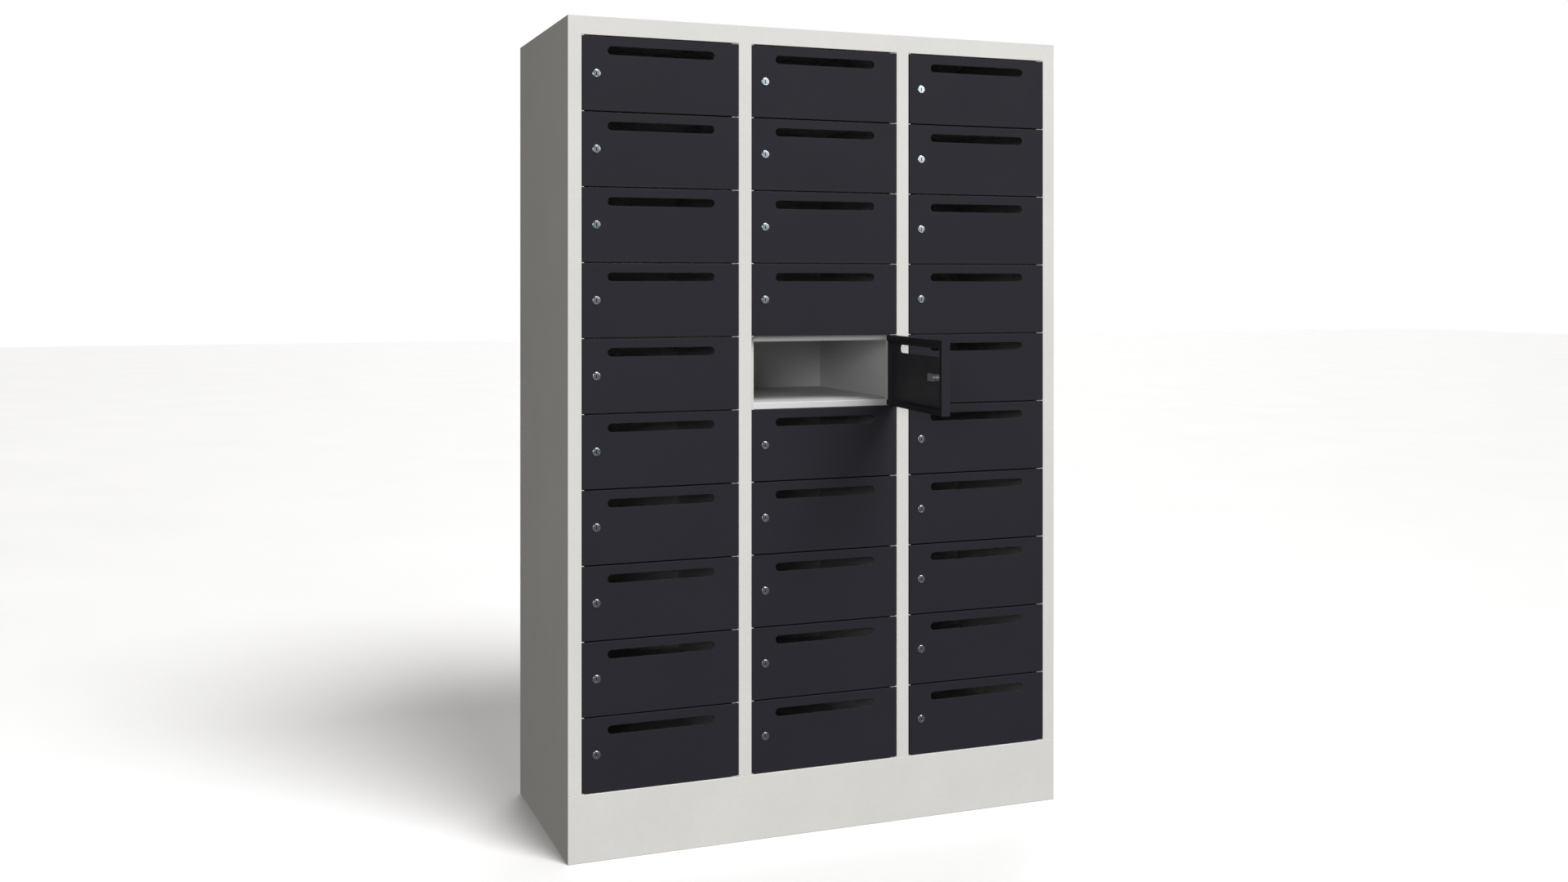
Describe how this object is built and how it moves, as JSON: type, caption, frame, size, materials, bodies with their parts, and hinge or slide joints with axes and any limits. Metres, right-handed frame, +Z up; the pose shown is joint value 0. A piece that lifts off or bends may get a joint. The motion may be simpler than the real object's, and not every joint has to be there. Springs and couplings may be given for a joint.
{
  "type": "parcel locker",
  "caption": "Sheet-steel post and parcel locker: columns of hinged doors, each with a letter slot and a cam lock, over shelved compartments on a closed plinth.",
  "frame": {"origin": "on the floor under the centre of the cabinet's plan, the ajar door left out", "axes": "+Z up, doors face -Y, +X to the right seen from the front"},
  "size_m": [1.18, 0.8355, 1.8],
  "materials": {
    "carcass": "light grey powder coat, fine orange peel",
    "front_frame": "light grey powder coat, fine orange peel",
    "plinth": "light grey powder coat, fine orange peel",
    "interior": "light grey powder coat, lightly scuffed",
    "door": "anthracite powder coat, satin",
    "hinge_lug": "light grey powder coat",
    "zinc": "bright zinc plated",
    "lock_chrome": "polished chrome plate",
    "cam_zinc": "zinc plated pressing",
    "buffer": "soft grey silicone"
  },
  "bodies": {
    "cabinet": {"side_panel_left": "carcass", "side_panel_right": "carcass", "top_panel": "carcass", "back_panel": "interior", "base_panel": "interior", "partition_left": "interior", "partition_right": "interior", "shelves_left": "interior", "shelves_middle": "interior", "shelves_right": "interior", "front_frame": "front_frame", "plinth_front": "plinth", "plinth_rear": "interior", "plinth_stretcher": "interior", "hinge_lugs": "hinge_lug", "hinge_pins": "zinc", "door_buffers": "buffer", "back_rivets": "zinc"},
    "door_left_01": {"door_left_01": "door"},
    "door_left_02": {"door_left_02": "door"},
    "door_left_03": {"door_left_03": "door"},
    "door_left_04": {"door_left_04": "door"},
    "door_left_05": {"door_left_05": "door"},
    "door_left_06": {"door_left_06": "door"},
    "door_left_07": {"door_left_07": "door"},
    "door_left_08": {"door_left_08": "door"},
    "door_left_09": {"door_left_09": "door"},
    "door_left_10": {"door_left_10": "door"},
    "door_middle_01": {"door_middle_01": "door"},
    "door_middle_02": {"door_middle_02": "door"},
    "door_middle_03": {"door_middle_03": "door"},
    "door_middle_04": {"door_middle_04": "door"},
    "door_middle_05": {"door_middle_05": "door", "lock_body_middle_05": "lock_chrome", "lock_nut_middle_05": "zinc"},
    "door_middle_06": {"door_middle_06": "door"},
    "door_middle_07": {"door_middle_07": "door"},
    "door_middle_08": {"door_middle_08": "door"},
    "door_middle_09": {"door_middle_09": "door"},
    "door_middle_10": {"door_middle_10": "door"},
    "door_right_01": {"door_right_01": "door"},
    "door_right_02": {"door_right_02": "door"},
    "door_right_03": {"door_right_03": "door"},
    "door_right_04": {"door_right_04": "door"},
    "door_right_05": {"door_right_05": "door"},
    "door_right_06": {"door_right_06": "door"},
    "door_right_07": {"door_right_07": "door"},
    "door_right_08": {"door_right_08": "door"},
    "door_right_09": {"door_right_09": "door"},
    "door_right_10": {"door_right_10": "door"},
    "lock_rotor_middle_01": {"lock_rotor_middle_01": "cam_zinc"},
    "lock_rotor_middle_02": {"lock_rotor_middle_02": "cam_zinc"},
    "lock_rotor_middle_03": {"lock_rotor_middle_03": "cam_zinc"},
    "lock_rotor_middle_04": {"lock_rotor_middle_04": "cam_zinc"},
    "lock_rotor_middle_05": {"lock_rotor_middle_05": "cam_zinc"},
    "lock_rotor_middle_06": {"lock_rotor_middle_06": "cam_zinc"},
    "lock_rotor_middle_07": {"lock_rotor_middle_07": "cam_zinc"},
    "lock_rotor_middle_08": {"lock_rotor_middle_08": "cam_zinc"},
    "lock_rotor_middle_09": {"lock_rotor_middle_09": "cam_zinc"},
    "lock_rotor_middle_10": {"lock_rotor_middle_10": "cam_zinc"}
  },
  "joints": [
    {"name": "hinge_left_01", "type": "hinge", "parent": "cabinet", "child": "door_left_01", "pos_m": [-0.21667, -0.245, 1.67813], "axis": [0, 0, 1], "range_deg": [0, 110]},
    {"name": "hinge_left_02", "type": "hinge", "parent": "cabinet", "child": "door_left_02", "pos_m": [-0.21667, -0.245, 1.51687], "axis": [0, 0, 1], "range_deg": [0, 110]},
    {"name": "hinge_left_03", "type": "hinge", "parent": "cabinet", "child": "door_left_03", "pos_m": [-0.21667, -0.245, 1.35563], "axis": [0, 0, 1], "range_deg": [0, 110]},
    {"name": "hinge_left_04", "type": "hinge", "parent": "cabinet", "child": "door_left_04", "pos_m": [-0.21667, -0.245, 1.19437], "axis": [0, 0, 1], "range_deg": [0, 110]},
    {"name": "hinge_left_05", "type": "hinge", "parent": "cabinet", "child": "door_left_05", "pos_m": [-0.21667, -0.245, 1.03313], "axis": [0, 0, 1], "range_deg": [0, 110]},
    {"name": "hinge_left_06", "type": "hinge", "parent": "cabinet", "child": "door_left_06", "pos_m": [-0.21667, -0.245, 0.87187], "axis": [0, 0, 1], "range_deg": [0, 110]},
    {"name": "hinge_left_07", "type": "hinge", "parent": "cabinet", "child": "door_left_07", "pos_m": [-0.21667, -0.245, 0.71062], "axis": [0, 0, 1], "range_deg": [0, 110]},
    {"name": "hinge_left_08", "type": "hinge", "parent": "cabinet", "child": "door_left_08", "pos_m": [-0.21667, -0.245, 0.54937], "axis": [0, 0, 1], "range_deg": [0, 110]},
    {"name": "hinge_left_09", "type": "hinge", "parent": "cabinet", "child": "door_left_09", "pos_m": [-0.21667, -0.245, 0.38812], "axis": [0, 0, 1], "range_deg": [0, 110]},
    {"name": "hinge_left_10", "type": "hinge", "parent": "cabinet", "child": "door_left_10", "pos_m": [-0.21667, -0.245, 0.22687], "axis": [0, 0, 1], "range_deg": [0, 110]},
    {"name": "hinge_middle_01", "type": "hinge", "parent": "cabinet", "child": "door_middle_01", "pos_m": [0.16667, -0.245, 1.67813], "axis": [0, 0, 1], "range_deg": [0, 110]},
    {"name": "hinge_middle_02", "type": "hinge", "parent": "cabinet", "child": "door_middle_02", "pos_m": [0.16667, -0.245, 1.51687], "axis": [0, 0, 1], "range_deg": [0, 110]},
    {"name": "hinge_middle_03", "type": "hinge", "parent": "cabinet", "child": "door_middle_03", "pos_m": [0.16667, -0.245, 1.35563], "axis": [0, 0, 1], "range_deg": [0, 110]},
    {"name": "hinge_middle_04", "type": "hinge", "parent": "cabinet", "child": "door_middle_04", "pos_m": [0.16667, -0.245, 1.19437], "axis": [0, 0, 1], "range_deg": [0, 110]},
    {"name": "hinge_middle_05", "type": "hinge", "parent": "cabinet", "child": "door_middle_05", "pos_m": [0.16667, -0.245, 1.03313], "axis": [0, 0, 1], "range_deg": [-85, 25]},
    {"name": "hinge_middle_06", "type": "hinge", "parent": "cabinet", "child": "door_middle_06", "pos_m": [0.16667, -0.245, 0.87187], "axis": [0, 0, 1], "range_deg": [0, 110]},
    {"name": "hinge_middle_07", "type": "hinge", "parent": "cabinet", "child": "door_middle_07", "pos_m": [0.16667, -0.245, 0.71062], "axis": [0, 0, 1], "range_deg": [0, 110]},
    {"name": "hinge_middle_08", "type": "hinge", "parent": "cabinet", "child": "door_middle_08", "pos_m": [0.16667, -0.245, 0.54937], "axis": [0, 0, 1], "range_deg": [0, 110]},
    {"name": "hinge_middle_09", "type": "hinge", "parent": "cabinet", "child": "door_middle_09", "pos_m": [0.16667, -0.245, 0.38812], "axis": [0, 0, 1], "range_deg": [0, 110]},
    {"name": "hinge_middle_10", "type": "hinge", "parent": "cabinet", "child": "door_middle_10", "pos_m": [0.16667, -0.245, 0.22687], "axis": [0, 0, 1], "range_deg": [0, 110]},
    {"name": "hinge_right_01", "type": "hinge", "parent": "cabinet", "child": "door_right_01", "pos_m": [0.55, -0.245, 1.67813], "axis": [0, 0, 1], "range_deg": [0, 110]},
    {"name": "hinge_right_02", "type": "hinge", "parent": "cabinet", "child": "door_right_02", "pos_m": [0.55, -0.245, 1.51687], "axis": [0, 0, 1], "range_deg": [0, 110]},
    {"name": "hinge_right_03", "type": "hinge", "parent": "cabinet", "child": "door_right_03", "pos_m": [0.55, -0.245, 1.35563], "axis": [0, 0, 1], "range_deg": [0, 110]},
    {"name": "hinge_right_04", "type": "hinge", "parent": "cabinet", "child": "door_right_04", "pos_m": [0.55, -0.245, 1.19437], "axis": [0, 0, 1], "range_deg": [0, 110]},
    {"name": "hinge_right_05", "type": "hinge", "parent": "cabinet", "child": "door_right_05", "pos_m": [0.55, -0.245, 1.03313], "axis": [0, 0, 1], "range_deg": [0, 110]},
    {"name": "hinge_right_06", "type": "hinge", "parent": "cabinet", "child": "door_right_06", "pos_m": [0.55, -0.245, 0.87187], "axis": [0, 0, 1], "range_deg": [0, 110]},
    {"name": "hinge_right_07", "type": "hinge", "parent": "cabinet", "child": "door_right_07", "pos_m": [0.55, -0.245, 0.71062], "axis": [0, 0, 1], "range_deg": [0, 110]},
    {"name": "hinge_right_08", "type": "hinge", "parent": "cabinet", "child": "door_right_08", "pos_m": [0.55, -0.245, 0.54937], "axis": [0, 0, 1], "range_deg": [0, 110]},
    {"name": "hinge_right_09", "type": "hinge", "parent": "cabinet", "child": "door_right_09", "pos_m": [0.55, -0.245, 0.38812], "axis": [0, 0, 1], "range_deg": [0, 110]},
    {"name": "hinge_right_10", "type": "hinge", "parent": "cabinet", "child": "door_right_10", "pos_m": [0.55, -0.245, 0.22687], "axis": [0, 0, 1], "range_deg": [0, 110]},
    {"name": "cam_turn_middle_01", "type": "hinge", "parent": "door_middle_01", "child": "lock_rotor_middle_01", "pos_m": [-0.14467, -0.25, 1.67813], "axis": [0, 1, 0], "range_deg": [0, 180]},
    {"name": "cam_turn_middle_02", "type": "hinge", "parent": "door_middle_02", "child": "lock_rotor_middle_02", "pos_m": [-0.14467, -0.25, 1.51687], "axis": [0, 1, 0], "range_deg": [0, 180]},
    {"name": "cam_turn_middle_03", "type": "hinge", "parent": "door_middle_03", "child": "lock_rotor_middle_03", "pos_m": [-0.14467, -0.25, 1.35563], "axis": [0, 1, 0], "range_deg": [0, 180]},
    {"name": "cam_turn_middle_04", "type": "hinge", "parent": "door_middle_04", "child": "lock_rotor_middle_04", "pos_m": [-0.14467, -0.25, 1.19437], "axis": [0, 1, 0], "range_deg": [0, 180]},
    {"name": "cam_turn_middle_05", "type": "hinge", "parent": "door_middle_05", "child": "lock_rotor_middle_05", "pos_m": [0.14451, -0.55558, 1.03313], "axis": [-0.9962, 0.0872, 0], "range_deg": [0, 180]},
    {"name": "cam_turn_middle_06", "type": "hinge", "parent": "door_middle_06", "child": "lock_rotor_middle_06", "pos_m": [-0.14467, -0.25, 0.87187], "axis": [0, 1, 0], "range_deg": [0, 180]},
    {"name": "cam_turn_middle_07", "type": "hinge", "parent": "door_middle_07", "child": "lock_rotor_middle_07", "pos_m": [-0.14467, -0.25, 0.71062], "axis": [0, 1, 0], "range_deg": [0, 180]},
    {"name": "cam_turn_middle_08", "type": "hinge", "parent": "door_middle_08", "child": "lock_rotor_middle_08", "pos_m": [-0.14467, -0.25, 0.54937], "axis": [0, 1, 0], "range_deg": [0, 180]},
    {"name": "cam_turn_middle_09", "type": "hinge", "parent": "door_middle_09", "child": "lock_rotor_middle_09", "pos_m": [-0.14467, -0.25, 0.38812], "axis": [0, 1, 0], "range_deg": [0, 180]},
    {"name": "cam_turn_middle_10", "type": "hinge", "parent": "door_middle_10", "child": "lock_rotor_middle_10", "pos_m": [-0.14467, -0.25, 0.22687], "axis": [0, 1, 0], "range_deg": [0, 180]}
  ]
}
